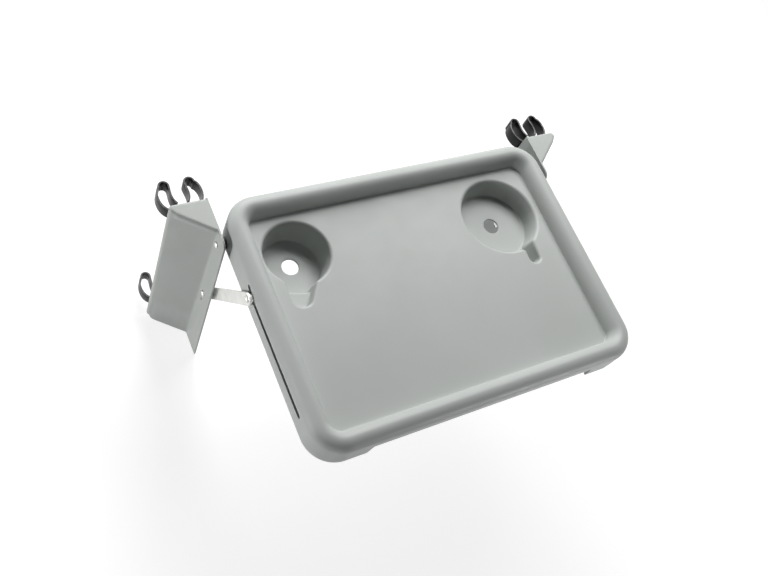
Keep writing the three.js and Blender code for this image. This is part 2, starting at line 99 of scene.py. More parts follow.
def placed(points):
    """Tray millimetres to metres in the part's frame: (p + origin) / 1000."""
    return (np.asarray(points, float).reshape(-1, 3) + PART_ORIGIN) / 1000.0


def grid_faces(rows, columns, wrap_rows=False, wrap_columns=False):
    """Quads of a grid of points numbered row by row; either direction may close on itself."""
    r = np.arange(rows if wrap_rows else rows - 1)
    c = np.arange(columns if wrap_columns else columns - 1)
    r, c = np.meshgrid(r, c, indexing="ij")
    below, beside = (r + 1) % rows, (c + 1) % columns
    corners = [r * columns + c, r * columns + beside, below * columns + beside, below * columns + c]
    return np.stack(corners, -1).reshape(-1, 4)


def stacked(*patches):
    """Several (points, faces) patches as one list of points and one list of faces."""
    points, faces, start = [], [], 0
    for patch_points, patch_faces in patches:
        patch_points = np.asarray(patch_points, float).reshape(-1, 3)
        points.append(patch_points)
        faces += [[int(i) + start for i in face] for face in patch_faces]
        start += len(patch_points)
    return np.concatenate(points), faces


def piece(name, points, faces, body, finish, replaced, sharp=38.0, painted_edge_highlight=None):
    """A closed mesh in the part's frame: doubles merged, faces outwards, edges past an angle kept crisp."""
    mesh = bpy.data.meshes.new(name)
    mesh.from_pydata(placed(points).tolist(), [], faces)
    # Optional per-point attribute: on the clips it places their painted edge highlight.
    if painted_edge_highlight is not None:
        highlight_layer = mesh.attributes.new("painted_edge_highlight", "FLOAT", "POINT")
        highlight_layer.data.foreach_set("value", np.asarray(painted_edge_highlight, np.float32).ravel())
    work = bmesh.new()
    work.from_mesh(mesh)
    bmesh.ops.remove_doubles(work, verts=work.verts, dist=2e-6)
    bmesh.ops.dissolve_degenerate(work, edges=work.edges, dist=1e-7)
    bmesh.ops.recalc_face_normals(work, faces=work.faces)
    work.to_mesh(mesh)
    work.free()
    mesh.polygons.foreach_set("use_smooth", np.ones(len(mesh.polygons), bool))
    mesh.set_sharp_from_angle(angle=math.radians(sharp))
    mesh.materials.append(finish)
    made = bpy.data.objects.new(name, mesh)
    bpy.context.scene.collection.objects.link(made)
    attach(made, body)
    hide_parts(*replaced)


def sided(points, side):
    """The points of a right-hand piece, or their mirror image for the left."""
    hand = 1.0 if side == "right" else -1.0
    return np.asarray(points, float).reshape(-1, 3) * np.array([hand, 1.0, 1.0])


def arc(start, end, count):
    """Angles from start to end in degrees, both ends counted, in radians."""
    return np.radians(np.linspace(start, end, count))


# Materials


def material(name, color, roughness, metallic=0.0, specular=0.5):
    """A named material with one Principled shader; returns it with its nodes, links and shader."""
    made = bpy.data.materials.new(name)
    made.use_nodes = True
    nodes, links = made.node_tree.nodes, made.node_tree.links
    shader = nodes["Principled BSDF"]
    shader.inputs["Base Color"].default_value = (*color, 1.0)
    shader.inputs["Roughness"].default_value = roughness
    shader.inputs["Metallic"].default_value = metallic
    shader.inputs["Specular IOR Level"].default_value = specular
    return made, nodes, links, shader


def noise(nodes, links, scale, detail, stretch=(1.0, 1.0, 1.0), roughness=0.5):
    """Noise over Object coordinates, stretched along an axis by a Mapping node; gives its Fac socket."""
    place = nodes.new("ShaderNodeTexCoord")
    mapping = nodes.new("ShaderNodeMapping")
    mapping.inputs["Scale"].default_value = stretch
    texture = nodes.new("ShaderNodeTexNoise")
    texture.inputs["Scale"].default_value = scale
    texture.inputs["Detail"].default_value = detail
    texture.inputs["Roughness"].default_value = roughness
    links.new(place.outputs["Object"], mapping.inputs["Vector"])
    links.new(mapping.outputs["Vector"], texture.inputs["Vector"])
    return texture.outputs["Fac"]


def ranged(nodes, links, value, low, high, start=0.3, end=0.7):
    """A 0 to 1 value carried from start..end to low..high."""
    node = nodes.new("ShaderNodeMapRange")
    node.inputs["From Min"].default_value = start
    node.inputs["From Max"].default_value = end
    node.inputs["To Min"].default_value = low
    node.inputs["To Max"].default_value = high
    links.new(value, node.inputs["Value"])
    return node.outputs["Result"]


def blended(nodes, links, factor, first, second):
    """A colour between two, by a factor socket."""
    node = nodes.new("ShaderNodeMix")
    node.data_type = "RGBA"
    links.new(factor, node.inputs["Factor"])
    for socket, value in (("A", first), ("B", second)):
        target = next(s for s in node.inputs if s.name == socket and s.type == "RGBA")
        target.default_value = (*value, 1.0)
    return next(s for s in node.outputs if s.type == "RGBA")


def bumped(nodes, links, shader, heights):
    """Bump nodes chained one on another, each from a height socket, a strength and a depth in metres."""
    normal = None
    for height, strength, depth in heights:
        bump = nodes.new("ShaderNodeBump")
        bump.inputs["Strength"].default_value = strength
        bump.inputs["Distance"].default_value = depth
        links.new(height, bump.inputs["Height"])
        if normal is not None:
            links.new(normal, bump.inputs["Normal"])
        normal = bump.outputs["Normal"]
    links.new(normal, shader.inputs["Normal"])


def moulded_grey():
    """Grey moulded plastic: faint clouding of the colour, uneven sheen and a fine spark-eroded grain."""
    made, nodes, links, shader = material("moulded_grey_plastic", (0.42, 0.44, 0.425), 0.45, 0.0, 0.3)
    cloud = ranged(nodes, links, noise(nodes, links, 9.0, 4.0), 0.0, 1.0)
    tone = blended(nodes, links, cloud, (0.452, 0.474, 0.458), (0.480, 0.500, 0.486))
    links.new(tone, shader.inputs["Base Color"])
    sheen = ranged(nodes, links, noise(nodes, links, 60.0, 5.0), 0.40, 0.52)
    links.new(sheen, shader.inputs["Roughness"])
    grain = noise(nodes, links, 1400.0, 2.0)
    ripple = noise(nodes, links, 45.0, 2.0)
    bumped(nodes, links, shader, [(ripple, 0.05, 0.0006), (grain, 0.12, 0.00012)])
    return made


def satin_grey_paint():
    """Grey satin paint on sheet: slight orange peel, faint shade drift and a few dull rubbed patches."""
    made, nodes, links, shader = material("satin_grey_paint", (0.40, 0.42, 0.40), 0.42, 0.0, 0.35)
    drift = ranged(nodes, links, noise(nodes, links, 14.0, 3.0), 0.0, 1.0)
    tone = blended(nodes, links, drift, (0.418, 0.442, 0.424), (0.445, 0.466, 0.448))
    links.new(tone, shader.inputs["Base Color"])
    rubs_and_highlights = noise(nodes, links, 120.0, 6.0, (1.0, 1.0, 0.25), 0.65)
    links.new(ranged(nodes, links, rubs_and_highlights, 0.36, 0.50), shader.inputs["Roughness"])
    peel = noise(nodes, links, 480.0, 2.0)
    bumped(nodes, links, shader, [(peel, 0.10, 0.00025)])
    return made


def black_strip():
    """Black coated spring strip: half gloss, with a painted highlight in lighter grey along its rolled edges,
    set by a per-point attribute.
    """
    made, nodes, links, shader = material("black_coated_strip", (0.006, 0.006, 0.006), 0.33, 0.0, 0.2)
    # The lighter grey along the rolled edges is a painted highlight, broken up by noise.
    edge = nodes.new("ShaderNodeAttribute")
    edge.attribute_name = "painted_edge_highlight"
    patchy = nodes.new("ShaderNodeMath")
    patchy.operation = "MULTIPLY"
    links.new(edge.outputs["Fac"], patchy.inputs[0])
    links.new(ranged(nodes, links, noise(nodes, links, 260.0, 4.0), 0.45, 1.0), patchy.inputs[1])
    tone = blended(nodes, links, patchy.outputs[0], (0.005, 0.006, 0.006), (0.42, 0.42, 0.41))
    links.new(tone, shader.inputs["Base Color"])
    sheen = ranged(nodes, links, noise(nodes, links, 90.0, 5.0), 0.26, 0.44)
    links.new(sheen, shader.inputs["Roughness"])
    bumped(nodes, links, shader, [(noise(nodes, links, 900.0, 2.0), 0.08, 0.00015)])
    return made


def bright_zinc():
    """Bright zinc plate: metal with fine drawn lines, soft blotches and uneven sheen."""
    made, nodes, links, shader = material("bright_zinc_plate", (0.80, 0.80, 0.77), 0.34, 1.0)
    blotch = ranged(nodes, links, noise(nodes, links, 70.0, 4.0), 0.0, 1.0)
    tone = blended(nodes, links, blotch, (0.64, 0.645, 0.62), (0.76, 0.76, 0.735))
    links.new(tone, shader.inputs["Base Color"])
    drawn = noise(nodes, links, 500.0, 3.0, (1.0, 0.12, 0.12))
    links.new(ranged(nodes, links, drawn, 0.28, 0.42), shader.inputs["Roughness"])
    bumped(nodes, links, shader, [(drawn, 0.08, 0.0001)])
    return made


def black_nylon():
    """Matt black nylon: nearly even, with a dry fine grain."""
    made, nodes, links, shader = material("black_nylon", (0.012, 0.012, 0.012), 0.55)
    shade = ranged(nodes, links, noise(nodes, links, 200.0, 3.0), 0.0, 1.0)
    tone = blended(nodes, links, shade, (0.010, 0.010, 0.010), (0.016, 0.016, 0.016))
    links.new(tone, shader.inputs["Base Color"])
    bumped(nodes, links, shader, [(noise(nodes, links, 1200.0, 2.0), 0.10, 0.0001)])
    return made


PLASTIC, PAINT, STRIP_BLACK = moulded_grey(), satin_grey_paint(), black_strip()
ZINC, NYLON = bright_zinc(), black_nylon()


# Tray


def slot_span(y):
    """Lowest and highest z of the side slot at each y: a capsule along the skirt joined to the latch capsule.

    A capsule is the union of equal circles along a line, so its edge at y is the extreme of
    z(t) -+ sqrt(r^2 - (y - y(t))^2) over the line's parameter t.
    """
    t = np.linspace(0.0, 1.0, 241)
    ends = np.array([[SLOT_FRONT_Y, SLOT_Z, PIN_Y, SLOT_Z], [PIN_Y, SLOT_Z, LATCH_Y, LATCH_Z]])
    along_y = ends[:, 0, None] + (ends[:, 2] - ends[:, 0])[:, None] * t
    along_z = ends[:, 1, None] + (ends[:, 3] - ends[:, 1])[:, None] * t
    square = SLOT_HALF**2 - (y[:, None, None] - along_y[None]) ** 2
    reach = np.sqrt(np.maximum(square, 0.0))
    low = np.where(square >= -1e-9, along_z - reach, np.inf).min(axis=(1, 2))
    high = np.where(square >= -1e-9, along_z + reach, -np.inf).max(axis=(1, 2))
    return low, high


def side_stations():
    """The y of each station along a straight side from the rear: close together at the slot's round ends."""
    half = HALF_DEPTH - CORNER
    rear_end, front_end = LATCH_Y + SLOT_HALF, SLOT_FRONT_Y - SLOT_HALF
    turn = 1.0 - np.cos(arc(0, 90, 8))
    latch = rear_end - SLOT_HALF * turn
    nose = (front_end + SLOT_HALF * turn)[::-1]
    knee = PIN_Y - SLOT_HALF
    rise, level = np.linspace(latch[-1], knee, 15), np.linspace(knee, nose[0], 34)
    slot = np.concatenate([latch, rise[1:], level[1:], nose[1:]])
    behind, ahead = np.linspace(half, rear_end, 14), np.linspace(front_end, -half, 8)
    return np.concatenate([behind[:-1], slot, ahead[1:]]), slot


def rim_stations():
    """Stations round the tray, anticlockwise from the right rear corner: base points and outward normals.

    A ring at inset d is base + normal * (corner radius - d). Along a side the base moves and the normal
    stays; round a corner the base stays and the normal turns. The third array marks the slots' stations.
    """
    corner_points = 25
    half_x, half_y = HALF_WIDTH - CORNER, HALF_DEPTH - CORNER
    ys, slot = side_stations()
    cut = FRONT_CUT_X + FRONT_CUT_SLANT * np.linspace(-0.5, 1.5, 13)
    rear = np.concatenate([np.linspace(half_x, DIVIDE_X, 40), np.linspace(DIVIDE_X, -half_x, 32)[1:]])
    front = np.concatenate([
        np.linspace(-half_x, -cut[-1], 6), -cut[::-1][1:], np.linspace(-cut[0], DIVIDE_X, 22)[1:],
        np.linspace(DIVIDE_X, cut[0], 28)[1:], cut[1:], np.linspace(cut[-1], half_x, 6)[1:]])
    parts = []
    for sign_x, sign_y, start in ((1, 1, 0), (-1, 1, 90), (-1, -1, 180), (1, -1, 270)):
        turn = arc(start, start + 90, corner_points)
        base = np.tile([sign_x * half_x, sign_y * half_y], (corner_points, 1))
        parts.append((base, np.stack([np.cos(turn), np.sin(turn)], 1)))
        if start == 0:
            line, normal = np.stack([rear, np.full_like(rear, half_y)], 1), (0.0, 1.0)
        elif start == 90:
            line, normal = np.stack([np.full_like(ys, -half_x), ys], 1), (-1.0, 0.0)
        elif start == 180:
            line, normal = np.stack([front, np.full_like(front, -half_y)], 1), (0.0, -1.0)
        else:
            line, normal = np.stack([np.full_like(ys, half_x), ys[::-1]], 1), (1.0, 0.0)
        inner = line[1:-1]
        parts.append((inner, np.tile(normal, (len(inner), 1))))
    base = np.concatenate([p[0] for p in parts])
    normal = np.concatenate([p[1] for p in parts])
    on_side = np.abs(normal[:, 0]) > STRAIGHT
    in_slot = on_side & (base[:, 1] <= slot[0] + 1e-9) & (base[:, 1] >= slot[-1] - 1e-9)
    return base, normal, in_slot


def skirt_foot(base, normal):
    """Height of the skirt's lower edge: 0, raised across the front by a smooth step at each end."""
    on_front = normal[:, 1] < -STRAIGHT
    share = np.clip((FRONT_CUT_X + FRONT_CUT_SLANT - np.abs(base[:, 0])) / FRONT_CUT_SLANT, 0.0, 1.0)
    return np.where(on_front, FRONT_CUT_Z * share**2 * (3.0 - 2.0 * share), 0.0)


def rim_rows(base, normal, in_slot):
    """Rows of (inset, height) round the rim: from the floor over the crest, down the skirt and up inside.

    Foot: a small fillet; fall: a quarter ellipse (run sin t, drop cos t); crest: a quarter circle; skirt:
    upright, with two rows on the slot's edges; lower edge: a small round; inside: the same section moved in
    by the wall along its normals, which for the ellipse are (sin t / run, cos t / drop).
    """
    count = len(base)
    drop, run = HEIGHT - FLOOR_Z - RIM_FOOT, RIM_WIDTH - RIM_ROUND - RIM_FOOT
    foot = skirt_foot(base, normal)
    lower_share, upper_share = 0.35, 0.70
    low, high = foot + lower_share * (SHOULDER_Z - foot), foot + upper_share * (SHOULDER_Z - foot)
    low[in_slot], high[in_slot] = slot_span(base[in_slot, 1])
    heel, fall, turn = arc(270, 180, 6), arc(90, 0, 15)[1:], arc(90, 180, 13)[1:]
    across, up = np.sin(fall) / run, np.cos(fall) / drop
    steep = np.hypot(across, up)
    ones = np.ones(count)
    edge = SKIRT_EDGE

    def section(wall):
        inset = np.concatenate([
            RIM_WIDTH + (RIM_FOOT + wall) * np.cos(heel),
            RIM_ROUND + run * np.sin(fall) - wall * across / steep,
            RIM_ROUND + (RIM_ROUND - wall) * np.cos(turn)])
        level = np.concatenate([
            FLOOR_Z + RIM_FOOT + (RIM_FOOT + wall) * np.sin(heel),
            FLOOR_Z + RIM_FOOT + drop * np.cos(fall) - wall * up / steep,
            SHOULDER_Z + (RIM_ROUND - wall) * np.sin(turn)])
        return inset[:, None] * ones, level[:, None] * ones

    outer_inset, outer_level = section(0.0)
    inner_inset, inner_level = section(WALL)
    bottom = arc(180, 270, 4)
    skirt = [0.5 * (SHOULDER_Z + high), high, low, 0.5 * (low + foot + edge)]
    rows_inset = [outer_inset, np.zeros((len(skirt), count))]
    rows_level = [outer_level, np.stack(skirt)]
    round_inset = np.concatenate([edge + edge * np.cos(bottom), WALL - edge - edge * np.cos(bottom)[::-1]])
    round_level = np.concatenate([edge + edge * np.sin(bottom), edge + edge * np.sin(bottom)[::-1]])
    rows_inset += [round_inset[:, None] * ones, np.full((len(skirt), count), WALL), inner_inset[::-1]]
    rows_level += [foot + round_level[:, None] * ones, np.stack(skirt[::-1]), inner_level[::-1]]
    slot_outer = len(outer_inset) + 1
    slot_inner = len(outer_inset) + len(skirt) + len(round_inset) + 1
    return np.concatenate(rows_inset), np.concatenate(rows_level), slot_outer, slot_inner


def rim_patch():
    """The rim and skirt: rim_rows carried round rim_stations; the slots stay open and their edges walled."""
    base, normal, in_slot = rim_stations()
    inset, level, slot_outer, slot_inner = rim_rows(base, normal, in_slot)
    rows, count = inset.shape
    plan = base[None] + normal[None] * (CORNER - inset)[..., None]
    points = np.concatenate([plan, level[..., None]], -1)
    faces = grid_faces(rows, count, wrap_columns=True)
    row, column = np.divmod(faces[:, 0], count)
    after = (column + 1) % count
    through = in_slot[column] & in_slot[after]
    opened = through & ((row == slot_outer) | (row == slot_inner))
    first = np.flatnonzero(in_slot & in_slot[(np.arange(count) + 1) % count])
    second = (first + 1) % count
    walls = []
    for outer, inner in ((slot_outer, slot_inner + 1), (slot_outer + 1, slot_inner)):
        walls.append(np.stack([outer * count + first, outer * count + second,
                               inner * count + second, inner * count + first], -1))
    faces = np.concatenate([faces[~opened], *walls])
    return (points, faces), points[0], points[-1]


def notch_half(radius, notch, side, lean):
    """Half of a cup's edge with its handle notch, seen along the notch with this half below the middle line.

    The edge runs round the cup's circle to the angle alpha, by a fillet on to the notch's flared side, and
    round the notch's end. The side's outward normal is (sin f, -cos f) for the flare f, and the fillet's
    centre lies one fillet radius outside both the circle and the side line. The foot of each point is the
    edge moved in by the lean, but past the step it lies on the step line, straight across the notch.
    """
    flare, width, corner = notch["flare"], notch["half_width"], notch["corner"]
    end = np.array([notch["reach"], side * notch["offset"]])
    out = np.array([math.sin(flare), -math.cos(flare)])
    run = np.array([math.cos(flare), math.sin(flare)])
    gap = end @ out + width + corner
    centre = gap * out + math.sqrt((radius + corner) ** 2 - gap**2) * run
    alpha = math.atan2(centre[1], centre[0])

    def ring(start, stop):
        turn = np.linspace(start, stop, DENSE)
        return np.stack([np.cos(turn), np.sin(turn)], 1)

    bend = ring(alpha + math.pi, math.pi / 2 + flare)
    cap = ring(flare - math.pi / 2, 0.0)
    line = np.linspace(centre - corner * out, end + width * out, DENSE)
    notched = np.concatenate([centre + corner * bend, line, end + width * cap])
    normal = np.concatenate([-bend, np.tile(out, (DENSE, 1)), cap])
    foot = notched - lean * normal
    past = int(np.argmax(foot[:, 0] > notch["step"]))
    travel = np.concatenate([[0.0], np.cumsum(np.hypot(*np.diff(notched, axis=0).T))])
    share = np.clip((travel - travel[past]) / (travel[-1] - travel[past]), 0.0, 1.0)
    across = foot[past, 1] + share * (end[1] - foot[past, 1])
    on_step = np.stack([np.full(len(foot), notch["step"]), across], 1)
    foot = np.where((np.arange(len(foot)) >= past)[:, None], on_step, foot)
    return alpha, notched, normal, foot, travel / travel[-1]


def cup_outline(radius, notch, lean, bearing, facing):
    """A cup's whole edge: points, outward normals, feet at the notch's floor, and the matching cup angles.

    Each half starts on the circle opposite the notch and ends at the middle of the notch's end, which answers
    to the rim's point numbered facing. Away from the notch each column keeps the bearing of its rim point;
    nearer they are spaced by the edge's length, closer on the fillets and the notch. The second half is
    worked out mirrored.
    """
    on_circle, on_fillet, on_side, on_end = 1.0, 4.0, 1.4, 2.2
    weight = np.repeat([on_circle, on_fillet, on_side, on_end], DENSE)
    sides = [notch_half(radius, notch, side, lean) for side in (1.0, -1.0)]
    middle = 0.5 * (sides[0][0] - sides[1][0])
    around = np.append(bearing, bearing[0] + 2.0 * math.pi) - notch["heading"]
    halves = []
    for (alpha, notched, normal, foot, share), side, toward in zip(
            sides, (1.0, -1.0), (around[:facing + 1], -around[facing:][::-1])):
        turn = np.linspace(side * middle - math.pi, alpha, DENSE)
        ray = np.stack([np.cos(turn), np.sin(turn)], 1)
        edge = np.concatenate([radius * ray, notched])
        angle = np.concatenate([turn, alpha + share * (side * middle - alpha)])
        travel = np.concatenate([[0.0], np.cumsum(np.hypot(*np.diff(edge, axis=0).T) * weight[1:])])
        table = np.column_stack([edge, np.concatenate([ray, normal]),
                                 np.concatenate([(radius - lean) * ray, foot]), angle])
        toward = toward + 2.0 * math.pi * np.round((turn[0] - toward[0]) / (2.0 * math.pi))
        radial = np.interp(toward[toward < side * middle - NOTCH_SECTOR], turn, travel[:len(turn)])
        at = np.concatenate([radial[:-1], np.linspace(radial[-1], travel[-1], len(toward) - len(radial) + 1)])
        half = np.stack([np.interp(at, travel, column) for column in table.T], 1)
        halves.append(half * np.array([1.0, side, 1.0, side, 1.0, side, side]))
    whole = np.concatenate([halves[0][:-1], halves[1][:0:-1]])
    heading = notch["heading"]
    turn = np.array([[math.cos(heading), math.sin(heading)], [-math.sin(heading), math.cos(heading)]])
    normal = whole[:, 2:4] / np.hypot(*whole[:, 2:4].T)[:, None]
    return whole[:, :2] @ turn, normal @ turn, whole[:, 4:6] @ turn, whole[:, 6] + heading


def cup_rows(centre, radius, cup_depth, notch, bearing, facing):
    """Rows of points from the tray's floor down a cup, out through its drain and back up outside it.

    Upper rows follow the outline by offsets along its normals: the lip's quarter round, the wall, the cove,
    the notch's floor and the brow of its step. Lower rows run straight from the feet to the circle at the
    cup's heel, then follow its fillet, floor and drain. Outside, they return a wall's thickness away.
    """
    notch_z, lip = FLOOR_Z - notch["depth"], notch["lip"]
    cup_z = FLOOR_Z - cup_depth
    heel = cup_z + CUP_FILLET
    slope = CUP_TAPER / (FLOOR_Z - heel)
    outline, normal, feet, angle = cup_outline(radius, notch, slope * notch["depth"], bearing, facing)
    ray = np.stack([np.cos(angle), np.sin(angle)], 1)
    axis = np.array([math.cos(notch["heading"]), math.sin(notch["heading"])])
    heel_plan = ray * (radius - CUP_TAPER)

    def at(plan, z):
        return np.concatenate([centre + plan, np.ones((len(plan), 1)) * np.reshape(z, (-1, 1))], 1)

    def on_edge(offset, z):
        lean = slope * (FLOOR_Z - np.asarray(z, float))
        return at(outline + normal * np.reshape(offset - lean, (-1, 1)), z)

    def on_circle(r, z):
        return at(ray * r, z)

    room = np.hypot(*(outline - slope * notch["depth"] * normal - feet).T)
    most, flat = 0.35 * room, 0.08 * room
    cove = np.minimum(NOTCH_COVE, most)
    brow = np.minimum(min(NOTCH_BROW, 0.7 * (notch_z - heel)), most)
    rows = []
    for turn in arc(90, 180, 8):
        rows.append(on_edge(lip + lip * math.cos(turn), FLOOR_Z - lip + lip * math.sin(turn)))
    for share in np.linspace(0.0, 1.0, 5)[1:]:
        rows.append(on_edge(0.0, FLOOR_Z - lip + share * (notch_z + cove - FLOOR_Z + lip)))
    for turn in arc(0, 90, 5)[1:]:
        rows.append(on_edge(-cove * (1.0 - math.cos(turn)), notch_z + cove * (1.0 - math.sin(turn))))
    rows.append(on_edge(-cove - flat, notch_z))
    rows.append(at(feet + (brow + flat)[:, None] * axis, notch_z))
    for turn in arc(90, 0, 6):
        rise = brow * (1.0 - math.cos(turn))
        rows.append(at(feet + rise[:, None] * axis, notch_z - brow * (1.0 - math.sin(turn))))
    for share in np.linspace(0.0, 1.0, 6)[1:]:
        rows.append(at(feet + share * (heel_plan - feet), notch_z - brow + share * (heel - notch_z + brow)))
    inner, outer = radius - CUP_TAPER - CUP_FILLET, CUP_FILLET + WALL
    under, margin = cup_z - WALL, 1.0
    edge, rim = DRAIN_EDGE, DRAIN_RADIUS + DRAIN_EDGE
    for turn in arc(0, 90, 8)[1:]:
        rows.append(on_circle(inner + CUP_FILLET * math.cos(turn), heel - CUP_FILLET * math.sin(turn)))
    for share in (0.06, 0.5, 0.94):
        rows.append(on_circle(inner + share * (rim - inner), cup_z))
    for turn in arc(90, 180, 5):
        rows.append(on_circle(rim + edge * math.cos(turn), cup_z - edge + edge * math.sin(turn)))
    for turn in arc(180, 270, 5):
        rows.append(on_circle(rim + edge * math.cos(turn), under + edge + edge * math.sin(turn)))
    rows.append(on_circle(inner - margin, under))
    for turn in arc(90, 0, 8):
        rows.append(on_circle(inner + outer * math.cos(turn), heel - outer * math.sin(turn)))
    ceiling, collar = max(notch_z - WALL, heel), FLOOR_Z - WALL - UNDER_LIP
    for share in np.linspace(0.0, 1.0, 5)[1:]:
        z = heel + share * (ceiling - heel)
        drawn = (notch_z - z) / (notch_z - heel)
        rows.append(at(feet + drawn * (heel_plan - feet) + WALL * ray, z))
    rows.append(on_edge(WALL, ceiling))
    for share in np.linspace(0.0, 1.0, 4)[1:]:
        rows.append(on_edge(WALL, ceiling + share * (collar - ceiling)))
    for turn in arc(180, 90, 5)[1:]:
        spread = UNDER_LIP * (1.0 + math.cos(turn))
        rows.append(on_edge(WALL + spread, collar + UNDER_LIP * math.sin(turn)))
    return rows


def floor_patch(centre, radius, cup_depth, notch, top_loop, under_loop):
    """One half of the floor with its cup: straight rows from the rim's foot to the cup's lip, then cup_rows.

    The edge of the half and the cup's outline have the same number of points, matched from the point
    opposite the notch, so each column runs from the rim, down the cup and back to the rim underneath. The
    notch's end faces the rim point straight ahead of it.
    """
    centre, heading = np.array(centre), notch["heading"]
    axis = np.array([math.cos(heading), math.sin(heading)])
    end = centre + notch["reach"] * axis + notch["offset"] * np.array([-axis[1], axis[0]])

    def bearing_from(point):
        return np.arctan2(top_loop[:, 1] - point[1], top_loop[:, 0] - point[0])

    def turned_off(point, toward):
        return np.abs((bearing_from(point) - toward + math.pi) % (2 * math.pi) - math.pi)

    mouth = heading + math.atan2(notch["offset"], notch["reach"])
    start, facing = int(np.argmax(turned_off(centre, mouth))), int(np.argmin(turned_off(end, heading)))
    facing = (facing - start) % len(top_loop)
    top_loop, under_loop = np.roll(top_loop, -start, 0), np.roll(under_loop, -start, 0)
    rows = cup_rows(centre, radius, cup_depth, notch, np.unwrap(bearing_from(centre)), facing)
    first, last = rows[0], rows[-1]
    lead = [top_loop + share * (first - top_loop) for share in (0.0, 0.02, 0.35, 0.7)]
    span = np.maximum(np.hypot(*(top_loop - first)[:, :2].T), LIP_MARGIN + 0.01)
    near = first + (top_loop - first) * (LIP_MARGIN / span)[:, None]
    tail = [under_loop + share * (last - under_loop) for share in (0.97, 0.5, 0.0)]
    points = np.stack(lead + [near] + rows + tail)
    return points, grid_faces(points.shape[0], points.shape[1], wrap_columns=True)


def halved(loop, side):
    """The stations of a ring on one side of the dividing line, closed along it by evenly spaced points."""
    on_line = np.flatnonzero(np.abs(loop[:, 0] - DIVIDE_X) < 1e-6)
    rear = on_line[np.argmax(loop[on_line, 1])]
    front = on_line[np.argmin(loop[on_line, 1])]
    across = np.linspace(0.0, 1.0, 60)[1:-1, None]
    if side == "left":
        run = loop[rear:front + 1]
    else:
        run = np.concatenate([loop[front:], loop[:rear + 1]])
    return np.concatenate([run, run[-1] + across * (run[0] - run[-1])])


def tray_shell():
    """The tray: rim and both halves of the floor, joined along the rim's foot and the dividing line."""
    rim, top_loop, under_loop = rim_patch()
    left = {"heading": math.radians(-105.4), "flare": math.radians(18.0), "reach": 53.4, "offset": 0.0,
            "half_width": 11.5, "depth": 15.0, "step": 41.0, "corner": 6.0, "lip": 3.0}
    right = {"heading": math.radians(-95.0), "flare": 0.0, "reach": 61.0, "offset": 23.9,
             "half_width": 7.5, "depth": 23.0, "step": 47.5, "corner": 4.6, "lip": 3.0}
    patches = [rim]
    cups = [("left", (-141.0, 77.0), 38.5, 33.5, left), ("right", (125.7, 63.8), 50.0, 25.6, right)]
    for side, centre, radius, depth, notch in cups:
        loops = halved(top_loop, side), halved(under_loop, side)
        patches.append(floor_patch(centre, radius, depth, notch, *loops))
    points, faces = stacked(*patches)
    piece("tray_shell", points, faces, "tray", PLASTIC, ["tray"])


# Brackets


def panel_plan():
    """Plan of the folded sheet, as points and outward normals, from the flange to the back panel's inner end.

    A concave fillet leaves the flange's face, the slanted panel touches the outer bend, and the back panel
    runs square to the flange. Slant = atan2(run) - asin(bend / run length).
    """
    bend = np.array([PANEL_OUTER_X - PANEL_BEND, BACK_Y - PANEL_BEND])
    run = bend - [FLANGE_FACE + GAP, PANEL_FRONT_Y]
    slant = math.atan2(run[1], run[0]) - math.asin(PANEL_BEND / np.hypot(*run))
    heel = PANEL_FRONT_Y - (GAP - WELD_GAP) * math.tan(slant)
    soft = PANEL_FILLET
    back_off = soft * math.tan((math.pi / 2 - slant) / 2)
    centre = np.array([PANEL_FACE + soft, heel - back_off])
    turn = np.linspace(math.pi, math.pi / 2 + slant, FILLET_POINTS)
    ring = np.stack([np.cos(turn), np.sin(turn)], 1)
    fillet, fillet_normal = centre + soft * ring, -ring
    lean = np.array([math.sin(slant), -math.cos(slant)])
    touch = bend + PANEL_BEND * lean
    slanted = fillet[-1] + np.linspace(0.0, 1.0, SLANT_POINTS + 1)[1:, None] * (touch - fillet[-1])
    sweep = np.linspace(slant - math.pi / 2, math.pi / 2, 15)[1:]
    ring = np.stack([np.cos(sweep), np.sin(sweep)], 1)
    back_x = np.linspace(bend[0], FLANGE_FACE + GAP, 10)[1:]
    back = np.stack([back_x, np.full_like(back_x, BACK_Y)], 1)
    points = np.concatenate([fillet, slanted, bend + PANEL_BEND * ring, back])
    normals = np.concatenate([
        fillet_normal, np.tile(lean, (SLANT_POINTS, 1)), ring, np.tile([0.0, 1.0], (len(back), 1))])
    return points, normals, touch


